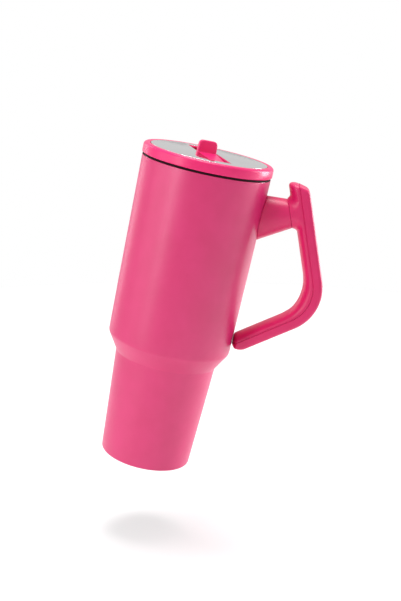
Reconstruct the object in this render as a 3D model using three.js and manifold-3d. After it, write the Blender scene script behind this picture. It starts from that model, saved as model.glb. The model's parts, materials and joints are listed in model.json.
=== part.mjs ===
// Insulated tumbler: a double-walled steel body with a carrying handle that swings over the lid, and a
// press-in lid whose drinking hole is closed by a sliding bar with a thumb tab.
// Millimetres, +Z up. The origin is the centre of the foot, on the surface the tumbler stands on.
// The handle is on +X.
import * as THREE from 'three';
import { mergeVertices } from 'three/addons/utils/BufferGeometryUtils.js';
import Module from 'manifold-3d';

const wasm = await Module();
wasm.setup();

// ---------------------------------------------------------------- driving dimensions
const CLEARANCE = 0.3; // gap between neighbouring pieces

// Steel body
const BODY_HEIGHT = 244; // foot to rim
const RIM_RADIUS = 51;
const SHOULDER_RADIUS = 49.5; // widest point of the shoulder cone
const SHOULDER_TOP = 100.6;
const CUP_RADIUS = 40.8; // top of the narrow part that drops into a cup holder
const SHOULDER_BOTTOM = 86.2;
const FOOT_RADIUS = 36.4;
const OUTER_WALL = 0.7;
const LINER_WALL = 0.6;
const VACUUM_GAP = 2.6;
const LINER_FLOOR = 14; // underside of the liner
const SHOULDER_ROUND = 5;
const CUP_ROUND = 2.5;
const FOOT_ROUND = 2.5;
const LIP_FLARE = 6; // height over which the liner opens out to meet the outer wall
const LIP_LAND = 1; // upright part of the liner's lip, beside the outer wall
const FLOOR_ROUND = 6; // edge of the liner's floor
const MIN_ROUND = 1; // smallest rounding left where an inset eats into one

// Foot
const PAD_PROUD = 0.5; // the rubber pad stands this far below the steel
const FOOT_OPENING = 31; // radius of the opening in the outer wall's foot
const BASE_PLATE = 0.8;
const PORT_RADIUS = 3;
const GETTER_RADIUS = 6;
const GETTER_HEIGHT = 2;

// Swivel: its axis rises away from the body, and the handle turns about it
const SWIVEL_DROP = 22.35; // centre of the swivel joint below the rim
const BOSS_REACH = 19.8; // centre of the swivel joint out from the wall
const SWIVEL_LEAN = 21; // degrees between the axis and the horizontal
const BOSS_RADIUS = 11.8; // at the swivel joint
const BOSS_FLARE = 0.25; // half-height gained per millimetre towards the body
const BOSS_WIDEN = 0.04; // half-width gained per millimetre towards the body
const BOSS_RISE = 0.07; // rise per millimetre towards the body, across the axis
const SWIVEL_GAP = 1.2; // floor of the boss's washer pocket to the handle
const STUD_RADIUS = 8;
const BOSS_FLOOR = 3; // wall of the boss in front of the stud
const BODY_SPARE = 17.3; // boss and stud are made this much too long, then cut to the body
const THREAD_RADIUS = 3;
const THREAD_LENGTH = 14;
const BOLT_RADIUS = 5; // plain shoulder that the handle turns on
const BUSH_WALL = 1.3;
const BUSH_PLAY = 0.1; // bolt to bush
const BOLT_HEAD_RADIUS = 8;
const BOLT_HEAD_HEIGHT = 3.6;
const BOLT_EDGE = 0.8; // rounding of the bolt's head
const SOCKET_RADIUS = 3.4;
const SOCKET_DEPTH = 2.5;
const SOCKET_SIDES = 6;
const HUB_FLOOR = 5; // wall of the hub that the bolt's head clamps
const HUB_WALL = 1.8; // round the bolt's head
const POCKET_WALL = 1.1; // rim of the boss round the friction washer
const SPRING_WASHER = 0.7;

// Handle
const BAR_THICKNESS = 13.1;
const BAR_DEPTH = 24.5;
const BAR_WALL = 2.4;
const BAR_CORNER = 3; // rounding of the outer edges
const CREASE = 1; // parting line of the two halves, from mid-thickness towards the body
const CROWN_STEP = 0.4; // the crowned half is this much narrower at the parting line
const NECK_LENGTH = 5.6; // swivel plane to the inner face of an unthickened bar
const NECK_FLARE = 3.6; // rounding of the neck where it meets the bar
const NECK_STRAIGHT = 2; // plain part of the neck before it flares
const NECK_EDGE = 0.6;
const POST = 20.6; // swivel axis to the top of the handle
const CAP_TILT = 35; // degrees between the slanted top and a square cut
const CAP_BLUNT = 4.6; // cut off the slanted top's inner corner
const POST_FLARE = 1.3; // the top of the post leans this far towards the lid
const LEAN_START = 2; // above the swivel axis
const LEAN_FULL = 14;
const TOP_WALL = 10; // solid end of the post, along its outer edge
const GRIP = 78.4; // swivel axis to where the two straight runs of the bar would meet
const GRIP_SWELL = 1.1; // the grip is this much thicker than the arm, on its inner side
const BEND_RADIUS = 29.45;
const BEND_FILL = 2.3; // the inner side of the bend is this much thicker at its middle
const BEND_REACH = 26; // the thickening ends this far to each side of the middle
const ARM_SLOPE = 36; // degrees below the horizontal, towards the body
const TIP_STANDOFF = 7.8; // where the arm's rounded tip starts, out from the wall
const TIP_ROUND = 10.8; // rounding of the underside at the tip
const NOSE_ROUND = 24; // rounding of the tip that faces the body
const NOSE_GAP = 0.3;
const PLUG_RADIUS = 9.2; // cap over the pivot bolt

// Lid
const SEAM_GAP = 1.8; // steel rim to lid ring, holding the rim gasket
const RING_HEIGHT = 8;
const RING_OVERHANG = 0.6; // lid ring beyond the steel rim
const RING_ROUND = 2.6;
const RING_BAND = 5; // ring between the inlay and the outside
const INLAY_THICKNESS = 1.2;
const LID_PLATE = 2.2;
const SKIRT_DEPTH = 13.4; // below the lid ring
const SKIRT_WALL = 2.4;
const SKIRT_GAP = 0.9; // skirt to liner
const GASKET_INSET = 0.2; // edge of the rim gasket inside the rim's edge
const SEAL_GROOVE = 1.2;
const SEAL_HEIGHT = 5;
const SEAL_BELOW = 4.4; // top of the seal groove below the lid ring
const LID_EDGE = 0.8; // rounding of the lid's lower edges
const INLAY_EDGE = 0.4; // rounding of the ring beside the inlay
const LID_FILLET = 1.5; // inside, where the skirt meets the plate

// Drinking slot and slider, along the lid's own X axis
const SIP_DIRECTION = -72.5; // degrees about Z, from the handle to the drinking hole
const SLOT_HALF_WIDTH = 8.3;
const SLOT_FRONT_MARGIN = 11.3; // inlay edge to the front end of the slot
const SLOT_BACK_MARGIN = 9;
const CHANNEL_WALL = 2.6;
const CHANNEL_FLOOR = 2;
const CHANNEL_DEPTH = 7.8; // lid top to the channel's floor
const RAIL_DEPTH = 1.1; // groove in each side of the channel
const RAIL_HEIGHT = 1.8;
const RAIL_BELOW = 3.2; // top of the groove below the lid top
const SLIDER_TRAVEL = 13.5;
const SIP_LENGTH = 12;
const SIP_SIDE_MARGIN = 2.3; // hole to each side of the slot
const SIP_CORNER = 4;
const SIP_MARGIN = 2.6; // hole to the front end of the slot
const SLIDER_SEAL = 1.5;
const SEAL_SIDE_MARGIN = 1; // seal to each side of the slot
const SEAL_CORNER = 2;
const TAB_FRONT = -7;
const TAB_THICKNESS = 4;
const TAB_HEIGHT = 9.4;
const TAB_MARGIN = 0.4; // tab to each side of the slot
const TAB_TAPER = 0.6; // the tab's top is this much narrower on each side
const TAB_CORNER = 3;
const TAB_ROOT = 1; // the tab reaches this far into the bar
const FLAT_FRONT = 3; // level part of the bar before and behind the tab
const FLAT_BACK = 2;
const BAR_EDGE = 0.8;
const SLOT_CORNER = 0.6;
const BAR_SUNK = 0.4; // top of the bar beside the tab, below the lid top
const BAR_FRONT_SUNK = 2.8;
const BAR_BACK_SUNK = 2.2;
const BAR_CLEARS_PLATE = 1.8; // below the lid top, what passes under the inlay

// Fineness
const ROUND = 48; // sides of a full turn on large pieces
const SMALL_ROUND = 24;
const ARC_ERROR = 0.15; // how far a rounded corner's sides may lie inside the true arc
const SWEEP_STEP = 4;
const CROWN_SIDES = 10;
const OVERSHOOT = 1; // how far a cutting solid runs past what it cuts

// ---------------------------------------------------------------- derived sizes
const { degToRad, smoothstep, clamp } = THREE.MathUtils;
const RING_BOTTOM = BODY_HEIGHT + SEAM_GAP;
const LID_TOP = RING_BOTTOM + RING_HEIGHT;
const LID_RADIUS = RIM_RADIUS + RING_OVERHANG;
const INLAY_RADIUS = LID_RADIUS - RING_BAND - CLEARANCE;
const PLATE_TOP = LID_TOP - INLAY_THICKNESS - CLEARANCE;
const LINER_OFFSET = OUTER_WALL + VACUUM_GAP; // outside of the wall to outside of the liner
const SWIVEL_HEIGHT = BODY_HEIGHT - SWIVEL_DROP;
const BAR_CENTRE = NECK_LENGTH + BAR_THICKNESS / 2; // along the swivel axis
const BEND_ANGLE = degToRad(90 + SWIVEL_LEAN - ARM_SLOPE);
const BEND_START = GRIP - BEND_RADIUS * Math.tan(BEND_ANGLE / 2);

// ---------------------------------------------------------------- solids and meshes
const WELD_DISTANCE = 1e-4;

// A closed three.js geometry as a solid, with its faces turned outwards.
function toSolid(geometry) {
  const bare = geometry.clone();
  bare.deleteAttribute('normal');
  bare.deleteAttribute('uv');
  const welded = mergeVertices(bare, WELD_DISTANCE);
  const corners = welded.index.array;
  const position = welded.attributes.position;
  const [a, b, c] = [new THREE.Vector3(), new THREE.Vector3(), new THREE.Vector3()];
  const triangles = [];
  let volume = 0;
  for (let i = 0; i < corners.length; i += 3) {
    const [p, q, r] = [corners[i], corners[i + 1], corners[i + 2]];
    if (p === q || q === r || r === p) continue;
    triangles.push([p, q, r]);
    a.fromBufferAttribute(position, p);
    b.fromBufferAttribute(position, q);
    c.fromBufferAttribute(position, r);
    volume += a.dot(b.cross(c));
  }
  const outwards = volume > 0 ? triangles : triangles.map(([p, q, r]) => [p, r, q]);
  return new wasm.Manifold(new wasm.Mesh({
    numProp: 3,
    vertProperties: position.array,
    triVerts: new Uint32Array(outwards.flat()),
  }));
}

function toMesh(name, solid, look) {
  const { vertProperties, triVerts } = solid.getMesh();
  const geometry = new THREE.BufferGeometry();
  geometry.setAttribute('position', new THREE.BufferAttribute(vertProperties, 3));
  geometry.setIndex(new THREE.BufferAttribute(triVerts, 1));
  geometry.computeVertexNormals();
  const mesh = new THREE.Mesh(geometry, new THREE.MeshStandardMaterial(look));
  mesh.name = name;
  return mesh;
}

// ---------------------------------------------------------------- outlines
// Corners [x, y, radius] joined by straight lines, each corner rounded by its radius.
function roundedOutline(corners, closed = true) {
  const points = [];
  const at = (i) => new THREE.Vector2(...corners[(i + corners.length) % corners.length]);
  corners.forEach(([, , radius = 0], i) => {
    const here = at(i);
    const atEnd = !closed && (i === 0 || i === corners.length - 1);
    if (!radius || atEnd) {
      points.push(here);
      return;
    }
    const before = at(i - 1).sub(here);
    const after = at(i + 1).sub(here);
    const limit = 0.48 * Math.min(before.length(), after.length());
    before.normalize();
    after.normalize();
    const half = before.angleTo(after) / 2;
    const reach = Math.min(radius / Math.tan(half), limit);
    const fillet = reach * Math.tan(half);
    const centre = before.clone().add(after).setLength(fillet / Math.sin(half)).add(here);
    const first = here.clone().addScaledVector(before, reach).sub(centre);
    const last = here.clone().addScaledVector(after, reach).sub(centre);
    const turn = Math.atan2(first.cross(last), first.dot(last));
    const steps = Math.ceil(Math.abs(turn) / (2 * Math.acos(1 - Math.min(ARC_ERROR / fillet, 0.5))));
    for (let step = 0; step <= steps; step += 1) {
      points.push(first.clone().rotateAround(new THREE.Vector2(), (turn * step) / steps).add(centre));
    }
  });
  return points;
}

function outlineShape(corners) {
  return new THREE.Shape(roundedOutline(corners));
}

function rectangle(x0, x1, y0, y1, radius = 0) {
  return [[x0, y0, radius], [x1, y0, radius], [x1, y1, radius], [x0, y1, radius]];
}

// ---------------------------------------------------------------- basic solids
// A profile [radius, height, rounding] turned about Z. One that reaches the axis starts and ends on it.
function turned(profile, sides = ROUND) {
  const onAxis = profile[0][0] === 0;
  const points = roundedOutline(profile, !onAxis);
  if (!onAxis) points.push(points[0].clone());
  return new THREE.LatheGeometry(points, sides).rotateX(Math.PI / 2);
}

function disc(radius, bottom, top, sides = ROUND) {
  return turned([[0, bottom], [radius, bottom], [radius, top], [0, top]], sides);
}

function ring(inside, outside, bottom, top, sides = ROUND) {
  return turned([[inside, bottom], [outside, bottom], [outside, top], [inside, top]], sides);
}

function block(x0, x1, y0, y1, z0, z1) {
  return new THREE.BoxGeometry(x1 - x0, y1 - y0, z1 - z0)
    .translate((x0 + x1) / 2, (y0 + y1) / 2, (z0 + z1) / 2);
}

function plate(shape, bottom, top) {
  const options = { depth: top - bottom, bevelEnabled: false, curveSegments: ROUND };
  return new THREE.ExtrudeGeometry(shape, options).translate(0, 0, bottom);
}

// An outline in X and Z, thickened to both sides of Y = 0.
function upright(shape, halfDepth) {
  return plate(shape, -halfDepth, halfDepth).rotateX(Math.PI / 2);
}

// ---------------------------------------------------------------- body
// Outer radius of the steel body at a height.
function wallRadius(height) {
  const stations = [
    [0, FOOT_RADIUS],
    [SHOULDER_BOTTOM, CUP_RADIUS],
    [SHOULDER_TOP, SHOULDER_RADIUS],
    [BODY_HEIGHT, RIM_RADIUS],
  ];
  const upper = Math.max(1, stations.findIndex(([z]) => z >= height));
  const [z0, r0] = stations[upper - 1];
  const [z1, r1] = stations[upper];
  return THREE.MathUtils.mapLinear(height, z0, z1, r0, r1);
}

// The wall's corners from the shoulder up to `top`, moved in by `inset`.
function wallCorners(inset, top) {
  return [
    [CUP_RADIUS - inset, SHOULDER_BOTTOM, CUP_ROUND + inset],
    [SHOULDER_RADIUS - inset, SHOULDER_TOP, Math.max(SHOULDER_ROUND - inset, MIN_ROUND)],
    [wallRadius(top) - inset, top],
  ];
}

// The space that the body fills, swollen by `gap`, for pieces that are cut to fit against it.
function bodyEnvelope(gap) {
  return turned([
    [0, -gap],
    [FOOT_RADIUS + gap, -gap],
    ...wallCorners(-gap, BODY_HEIGHT),
    [0, BODY_HEIGHT],
  ]);
}

function outerWall() {
  const inside = wallCorners(OUTER_WALL, BODY_HEIGHT).reverse();
  return turned([
    [FOOT_OPENING, PAD_PROUD],
    [FOOT_RADIUS, PAD_PROUD, FOOT_ROUND],
    ...wallCorners(0, BODY_HEIGHT),
    ...inside,
    [FOOT_RADIUS - OUTER_WALL, PAD_PROUD + OUTER_WALL, FOOT_ROUND - OUTER_WALL],
    [FOOT_OPENING, PAD_PROUD + OUTER_WALL],
  ]);
}

function innerLiner() {
  const neck = BODY_HEIGHT - LIP_FLARE;
  const lip = RIM_RADIUS - OUTER_WALL - CLEARANCE;
  const inset = LINER_OFFSET + LINER_WALL;
  const floorRadius = wallRadius(LINER_FLOOR);
  return turned([
    [0, LINER_FLOOR],
    [floorRadius - LINER_OFFSET, LINER_FLOOR, FLOOR_ROUND],
    ...wallCorners(LINER_OFFSET, neck),
    [lip, BODY_HEIGHT - LIP_LAND],
    [lip, BODY_HEIGHT],
    [lip - LINER_WALL, BODY_HEIGHT],
    ...wallCorners(inset, neck).reverse(),
    [floorRadius - inset, LINER_FLOOR + LINER_WALL, FLOOR_ROUND - LINER_WALL],
    [0, LINER_FLOOR + LINER_WALL],
  ]);
}

const STEEL = { color: 0xc9c9cb, roughness: 0.32, metalness: 1 };
const POWDER_COAT = { color: 0xe64a85, roughness: 0.55, metalness: 0 };
const PINK_PLASTIC = { color: 0xea3f80, roughness: 0.42, metalness: 0 };
const BLACK_RUBBER = { color: 0x1a1012, roughness: 0.8, metalness: 0 };
const CLEAR_SILICONE = { color: 0xe6e2e2, roughness: 0.5, metalness: 0 };
const NYLON = { color: 0x3a0a1a, roughness: 0.6, metalness: 0 };

function body() {
  const parts = new THREE.Group();
  const plateBottom = PAD_PROUD + OUTER_WALL + CLEARANCE;
  const plateTop = plateBottom + BASE_PLATE;
  const plateRadius = FOOT_RADIUS - OUTER_WALL - FOOT_ROUND;
  const getterBottom = plateTop + CLEARANCE;
  const getter = disc(GETTER_RADIUS, getterBottom, getterBottom + GETTER_HEIGHT, SMALL_ROUND)
    .translate(plateRadius / 2, 0, 0);
  const plug = disc(PORT_RADIUS - CLEARANCE, plateBottom, plateTop, SMALL_ROUND);
  const pad = disc(FOOT_OPENING - CLEARANCE, 0, plateBottom - CLEARANCE);
  parts.add(
    toMesh('outer_wall', toSolid(outerWall()), POWDER_COAT),
    toMesh('inner_liner', toSolid(innerLiner()), STEEL),
    toMesh('base_plate', toSolid(ring(PORT_RADIUS, plateRadius, plateBottom, plateTop)), STEEL),
    toMesh('vacuum_port_plug', toSolid(plug), STEEL),
    toMesh('vacuum_getter', toSolid(getter), STEEL),
    toMesh('base_pad', toSolid(pad), BLACK_RUBBER),
  );
  return parts;
}

// ---------------------------------------------------------------- swivel
// The swivel's frame: its origin is the centre of the joint, its Z axis points out along the swivel axis,
// and its X axis points down along the handle's bar.
const swivelFrame = new THREE.Group();
swivelFrame.position.set(wallRadius(SWIVEL_HEIGHT) + BOSS_REACH, 0, SWIVEL_HEIGHT);
swivelFrame.rotation.y = degToRad(90 - SWIVEL_LEAN);
swivelFrame.updateMatrixWorld();
const intoSwivel = swivelFrame.matrixWorld.clone().invert();

function envelopeInSwivel(gap) {
  return toSolid(bodyEnvelope(gap).applyMatrix4(intoSwivel));
}

const BOSS_FACE = SWIVEL_GAP - CLEARANCE; // end of the boss, and of the friction washer sunk in it
const POCKET_RADIUS = BOSS_RADIUS - POCKET_WALL;

function handleBoss() {
  const length = BOSS_REACH + BODY_SPARE;
  const high = BOSS_RADIUS + BOSS_FLARE * length;
  const wide = BOSS_RADIUS + BOSS_WIDEN * length;
  const loft = new THREE.CylinderGeometry(BOSS_RADIUS, high, length + BOSS_FACE, ROUND)
    .rotateX(Math.PI / 2)
    .translate(0, 0, (BOSS_FACE - length) / 2);
  const position = loft.attributes.position;
  for (let i = 0; i < position.count; i += 1) {
    if (position.getZ(i) < 0) position.setY(i, position.getY(i) * wide / high);
  }
  loft.applyMatrix4(new THREE.Matrix4().makeShear(0, 0, 0, 0, BOSS_RISE, 0));
  return toSolid(loft)
    .subtract(toSolid(disc(POCKET_RADIUS, 0, BOSS_FACE + OVERSHOOT)))
    .subtract(envelopeInSwivel(CLEARANCE))
    .subtract(toSolid(disc(STUD_RADIUS + CLEARANCE, -length - OVERSHOOT, -BOSS_FLOOR, SMALL_ROUND)))
    .subtract(toSolid(disc(BOLT_RADIUS + CLEARANCE, -length, OVERSHOOT, SMALL_ROUND)));
}

function bossStud() {
  const face = -BOSS_FLOOR - CLEARANCE;
  const holeBottom = face - THREAD_LENGTH - OVERSHOOT;
  const hole = disc(THREAD_RADIUS + CLEARANCE, holeBottom, face + OVERSHOOT, SMALL_ROUND);
  return toSolid(disc(STUD_RADIUS, -BOSS_REACH - BODY_SPARE, face, SMALL_ROUND))
    .subtract(envelopeInSwivel(CLEARANCE))
    .subtract(toSolid(hole));
}

// Heights along the swivel axis of what the pivot bolt holds together.
const HUB_SEAT = SWIVEL_GAP + HUB_FLOOR; // the spring washer lies on it
const WASHER_TOP = HUB_SEAT + CLEARANCE + SPRING_WASHER;
const HEAD_BOTTOM = WASHER_TOP + CLEARANCE;
const HEAD_TOP = HEAD_BOTTOM + BOLT_HEAD_HEIGHT;
const HUB_RADIUS = BOLT_HEAD_RADIUS + CLEARANCE + HUB_WALL;
const BUSH_RADIUS = BOLT_RADIUS + CLEARANCE + BUSH_WALL;

function pivotBolt() {
  const shoulder = -BOSS_FLOOR;
  const bolt = turned([
    [0, shoulder - THREAD_LENGTH],
    [THREAD_RADIUS, shoulder - THREAD_LENGTH],
    [THREAD_RADIUS, shoulder],
    [BOLT_RADIUS, shoulder],
    [BOLT_RADIUS, HEAD_BOTTOM],
    [BOLT_HEAD_RADIUS, HEAD_BOTTOM],
    [BOLT_HEAD_RADIUS, HEAD_TOP, BOLT_EDGE],
    [0, HEAD_TOP],
  ], SMALL_ROUND);
  const socket = disc(SOCKET_RADIUS, HEAD_TOP - SOCKET_DEPTH, HEAD_TOP + OVERSHOOT, SOCKET_SIDES);
  return toSolid(bolt).subtract(toSolid(socket));
}

function swivelFittings() {
  const parts = new THREE.Group();
  const boltHole = BOLT_RADIUS + CLEARANCE;
  const frictionWasher = ring(boltHole, POCKET_RADIUS - CLEARANCE, CLEARANCE, BOSS_FACE);
  const springWasher = ring(boltHole, BOLT_HEAD_RADIUS, HUB_SEAT + CLEARANCE, WASHER_TOP, SMALL_ROUND);
  parts.add(
    toMesh('handle_boss', handleBoss(), PINK_PLASTIC),
    toMesh('boss_stud', bossStud(), STEEL),
    toMesh('pivot_bolt', pivotBolt(), STEEL),
    toMesh('friction_washer', toSolid(frictionWasher), NYLON),
    toMesh('spring_washer', toSolid(springWasher), STEEL),
  );
  return parts;
}

// ---------------------------------------------------------------- handle
// A place on the handle's bar in the swivel's frame: `along` from the swivel axis down a straight grip, a
// round bend and the straight arm back to the body, then `inward` from the centre line.
function barPoint(along, across = 0, inward = 0) {
  const round = clamp(along - BEND_START, 0, BEND_RADIUS * BEND_ANGLE);
  const angle = round / BEND_RADIUS;
  const straight = Math.max(along - BEND_START - round, 0);
  const spoke = BEND_RADIUS - inward;
  const x = Math.min(along, BEND_START) + spoke * Math.sin(angle) + straight * Math.cos(angle);
  const z = BAR_CENTRE - BEND_RADIUS + spoke * Math.cos(angle) - straight * Math.sin(angle);
  return new THREE.Vector3(x, across, z);
}

// How much the inner side is thickened: along the grip, towards the lid at the post, and inside the bend.
function swelling(along) {
  const bend = BEND_RADIUS * BEND_ANGLE;
  const grip = 1 - smoothstep(along, BEND_START, BEND_START + bend);
  const lean = smoothstep(-along, LEAN_START, LEAN_FULL);
  const fill = Math.max(0, 1 - ((along - BEND_START - bend / 2) / BEND_REACH) ** 2) ** 1.5;
  return GRIP_SWELL * grip + POST_FLARE * lean + BEND_FILL * fill;
}

// Where the rounded tip starts, as a distance along the bar: found from the wall that it reaches for.
function tipStart() {
  const slope = degToRad(ARM_SLOPE);
  const corner = new THREE.Vector3(GRIP, 0, BAR_CENTRE).applyMatrix4(swivelFrame.matrixWorld);
  let run = 0;
  for (let pass = 0; pass < 4; pass += 1) {
    const height = clamp(corner.z - run * Math.sin(slope), 0, BODY_HEIGHT);
    run = (corner.x - wallRadius(height) - TIP_STANDOFF) / Math.cos(slope);
  }
  return BEND_START + BEND_RADIUS * BEND_ANGLE + run - BEND_RADIUS * Math.tan(BEND_ANGLE / 2);
}

const TIP_START = tipStart();
const TOP_SPARE = 12; // the bar is swept this far past its slanted top, then cut
const TIP_SPARE = 22;

// A section [towards the body, across] swept along the bar, its crowned side thickened by `swell`.
function sweptBar(section, from, to, swell = () => 0) {
  const options = { steps: Math.round((to - from) / SWEEP_STEP), depth: to - from, bevelEnabled: false };
  const geometry = new THREE.ExtrudeGeometry(new THREE.Shape(section), options);
  const position = geometry.attributes.position;
  for (let i = 0; i < position.count; i += 1) {
    const along = from + position.getZ(i);
    const inward = position.getX(i);
    const share = clamp((inward - CREASE) / (BAR_THICKNESS / 2 - CREASE), 0, 1);
    const placed = barPoint(along, position.getY(i), inward + share * swell(along));
    position.setXYZ(i, placed.x, placed.y, placed.z);
  }
  return geometry;
}

// Half of an ellipse across the bar, from the parting line to the crowned inner face.
function crown(halfWidth, height) {
  const points = [];
  for (let i = 0; i <= CROWN_SIDES; i += 1) {
    const angle = (Math.PI * i) / CROWN_SIDES;
    points.push(new THREE.Vector2(CREASE + height * Math.sin(angle), halfWidth * Math.cos(angle)));
  }
  return points;
}

// What is cut off the bar: above its slanted top, and round its tip.
function barTrim() {
  const size = 80;
  const top = block(-size, 0, -size, size, -size, size)
    .rotateY(degToRad(CAP_TILT))
    .translate(-POST, 0, BAR_CENTRE);
  const innerFace = NECK_LENGTH - GRIP_SWELL - POST_FLARE;
  const peak = -POST - Math.tan(degToRad(CAP_TILT)) * (BAR_CENTRE - innerFace);
  const blunt = block(-size, CAP_BLUNT, -size, size, -size, size)
    .rotateY(-degToRad(90 - CAP_TILT) / 2)
    .translate(peak, 0, innerFace);
  const start = barPoint(TIP_START);
  const along = barPoint(TIP_START + 1).sub(start);
  const inwards = new THREE.Vector3(-along.z, 0, along.x).negate();
  const placed = new THREE.Matrix4()
    .makeBasis(along, new THREE.Vector3().crossVectors(inwards, along), inwards)
    .setPosition(start);
  const beyond = block(0, size, -size, size, -size, size).applyMatrix4(placed);
  const underside = disc(TIP_ROUND, -size, size, ROUND)
    .rotateX(Math.PI / 2)
    .translate(0, 0, TIP_ROUND - BAR_THICKNESS / 2)
    .applyMatrix4(placed);
  const tipHeight = start.clone().applyMatrix4(swivelFrame.matrixWorld).z;
  const noseCentre = wallRadius(clamp(tipHeight, 0, BODY_HEIGHT)) + NOSE_GAP + NOSE_ROUND;
  const nose = disc(NOSE_ROUND, 0, LID_TOP, ROUND)
    .translate(noseCentre, 0, 0)
    .applyMatrix4(intoSwivel);
  const kept = toSolid(underside).intersect(toSolid(nose));
  return toSolid(top)
    .add(toSolid(blunt))
    .add(toSolid(beyond).subtract(kept))
    .add(envelopeInSwivel(NOSE_GAP));
}

// The hollow inside the bar, open along the parting line.
function barHollow() {
  const half = BAR_DEPTH / 2 - BAR_WALL;
  const outerFace = -BAR_THICKNESS / 2 + BAR_WALL;
  const section = [
    new THREE.Vector2(outerFace, -half + CROWN_STEP),
    new THREE.Vector2(outerFace, half - CROWN_STEP),
    ...crown(half - CROWN_STEP, BAR_THICKNESS / 2 - CREASE - BAR_WALL),
  ];
  return toSolid(sweptBar(section, -POST + TOP_WALL, TIP_START - BAR_WALL));
}

function outerHalf() {
  const half = BAR_DEPTH / 2;
  const section = roundedOutline([
    [-BAR_THICKNESS / 2, -half, BAR_CORNER],
    [-BAR_THICKNESS / 2, half, BAR_CORNER],
    [CREASE - CLEARANCE / 2, half],
    [CREASE - CLEARANCE / 2, -half],
  ]);
  return toSolid(sweptBar(section, -POST - TOP_SPARE, TIP_START + TIP_SPARE));
}

function innerHalf() {
  const section = crown(BAR_DEPTH / 2 - CROWN_STEP, BAR_THICKNESS / 2 - CREASE);
  section.forEach((point) => {
    point.x = Math.max(point.x, CREASE + CLEARANCE / 2);
  });
  return toSolid(sweptBar(section, -POST - TOP_SPARE, TIP_START + TIP_SPARE, swelling));
}

// The round neck that joins the crowned half to the swivel, with a hub inside the bar for the bolt.
function neckAndHub() {
  const flare = turned([
    [0, SWIVEL_GAP],
    [BOSS_RADIUS, SWIVEL_GAP, NECK_EDGE],
    [BOSS_RADIUS, SWIVEL_GAP + NECK_STRAIGHT, NECK_FLARE],
    [BOSS_RADIUS + NECK_FLARE, BAR_CENTRE - CREASE - CLEARANCE],
    [0, BAR_CENTRE - CREASE - CLEARANCE],
  ]);
  const half = BAR_DEPTH / 2 - CROWN_STEP;
  const sides = block(-BAR_DEPTH, BAR_DEPTH, -half, half, 0, BAR_DEPTH);
  const hubTop = BAR_CENTRE + BAR_THICKNESS / 2 - BAR_WALL - CLEARANCE;
  const hub = disc(HUB_RADIUS, SWIVEL_GAP + NECK_EDGE, hubTop, SMALL_ROUND);
  return toSolid(flare).intersect(toSolid(sides)).add(toSolid(hub));
}

function hubBore() {
  const bore = disc(BUSH_RADIUS + CLEARANCE, 0, HUB_SEAT + OVERSHOOT, SMALL_ROUND);
  const recess = disc(BOLT_HEAD_RADIUS + CLEARANCE, HUB_SEAT, BAR_CENTRE + BAR_THICKNESS, SMALL_ROUND);
  return toSolid(bore).add(toSolid(recess));
}

function handleBar() {
  const parts = new THREE.Group();
  const trim = barTrim();
  const hollow = barHollow();
  const outer = outerHalf().subtract(trim);
  const plugBottom = BAR_CENTRE + BAR_THICKNESS / 2 - BAR_WALL;
  const plugTop = BAR_CENTRE + BAR_THICKNESS;
  const plug = toSolid(disc(PLUG_RADIUS, plugBottom, plugTop, SMALL_ROUND));
  const plugHole = toSolid(disc(PLUG_RADIUS + CLEARANCE, BAR_CENTRE, plugTop, SMALL_ROUND));
  const hubRoom = toSolid(disc(HUB_RADIUS + CLEARANCE, 0, plugBottom, SMALL_ROUND));
  const cover = innerHalf().subtract(trim).subtract(hollow).add(neckAndHub()).subtract(hubBore());
  const frame = outer.subtract(hollow).subtract(hubRoom).subtract(plugHole);
  const bush = ring(BOLT_RADIUS + BUSH_PLAY, BUSH_RADIUS, SWIVEL_GAP, HUB_SEAT, SMALL_ROUND);
  parts.add(
    toMesh('handle_frame', frame, PINK_PLASTIC),
    toMesh('handle_cover', cover, PINK_PLASTIC),
    toMesh('pivot_bush', toSolid(bush), NYLON),
    toMesh('pivot_cap', outer.intersect(plug), PINK_PLASTIC),
  );
  return parts;
}

// ---------------------------------------------------------------- lid
const LINER_INSIDE = wallRadius(BODY_HEIGHT - LIP_FLARE) - LINER_OFFSET - LINER_WALL;
const SKIRT_RADIUS = LINER_INSIDE - SKIRT_GAP;
const SLOT_FRONT = INLAY_RADIUS - SLOT_FRONT_MARGIN;
const SLOT_BACK = -(INLAY_RADIUS - SLOT_BACK_MARGIN);
const CHANNEL_BACK = -(SKIRT_RADIUS - CHANNEL_WALL);
const CHANNEL_FLOOR_TOP = LID_TOP - CHANNEL_DEPTH;
const SLIDER_FRONT = SLOT_FRONT - CLEARANCE;
const SLIDER_BACK = CHANNEL_BACK + CLEARANCE + SLIDER_TRAVEL;
const SLIDER_BOTTOM = CHANNEL_FLOOR_TOP + SLIDER_SEAL + 2 * CLEARANCE;
const SIP_FRONT = SLOT_FRONT - SIP_MARGIN;

function lidTurnedShell() {
  const grooveTop = RING_BOTTOM - SEAL_BELOW;
  const grooveRadius = SKIRT_RADIUS - SEAL_GROOVE;
  const skirtBottom = RING_BOTTOM - SKIRT_DEPTH;
  const skirtInside = SKIRT_RADIUS - SKIRT_WALL;
  return turned([
    [0, PLATE_TOP],
    [INLAY_RADIUS + CLEARANCE, PLATE_TOP],
    [INLAY_RADIUS + CLEARANCE, LID_TOP, INLAY_EDGE],
    [LID_RADIUS, LID_TOP, RING_ROUND],
    [LID_RADIUS, RING_BOTTOM, LID_EDGE],
    [SKIRT_RADIUS, RING_BOTTOM],
    [SKIRT_RADIUS, grooveTop],
    [grooveRadius, grooveTop],
    [grooveRadius, grooveTop - SEAL_HEIGHT],
    [SKIRT_RADIUS, grooveTop - SEAL_HEIGHT],
    [SKIRT_RADIUS, skirtBottom, LID_EDGE],
    [skirtInside, skirtBottom, LID_EDGE],
    [skirtInside, PLATE_TOP - LID_PLATE, LID_FILLET],
    [0, PLATE_TOP - LID_PLATE],
  ]);
}

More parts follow.
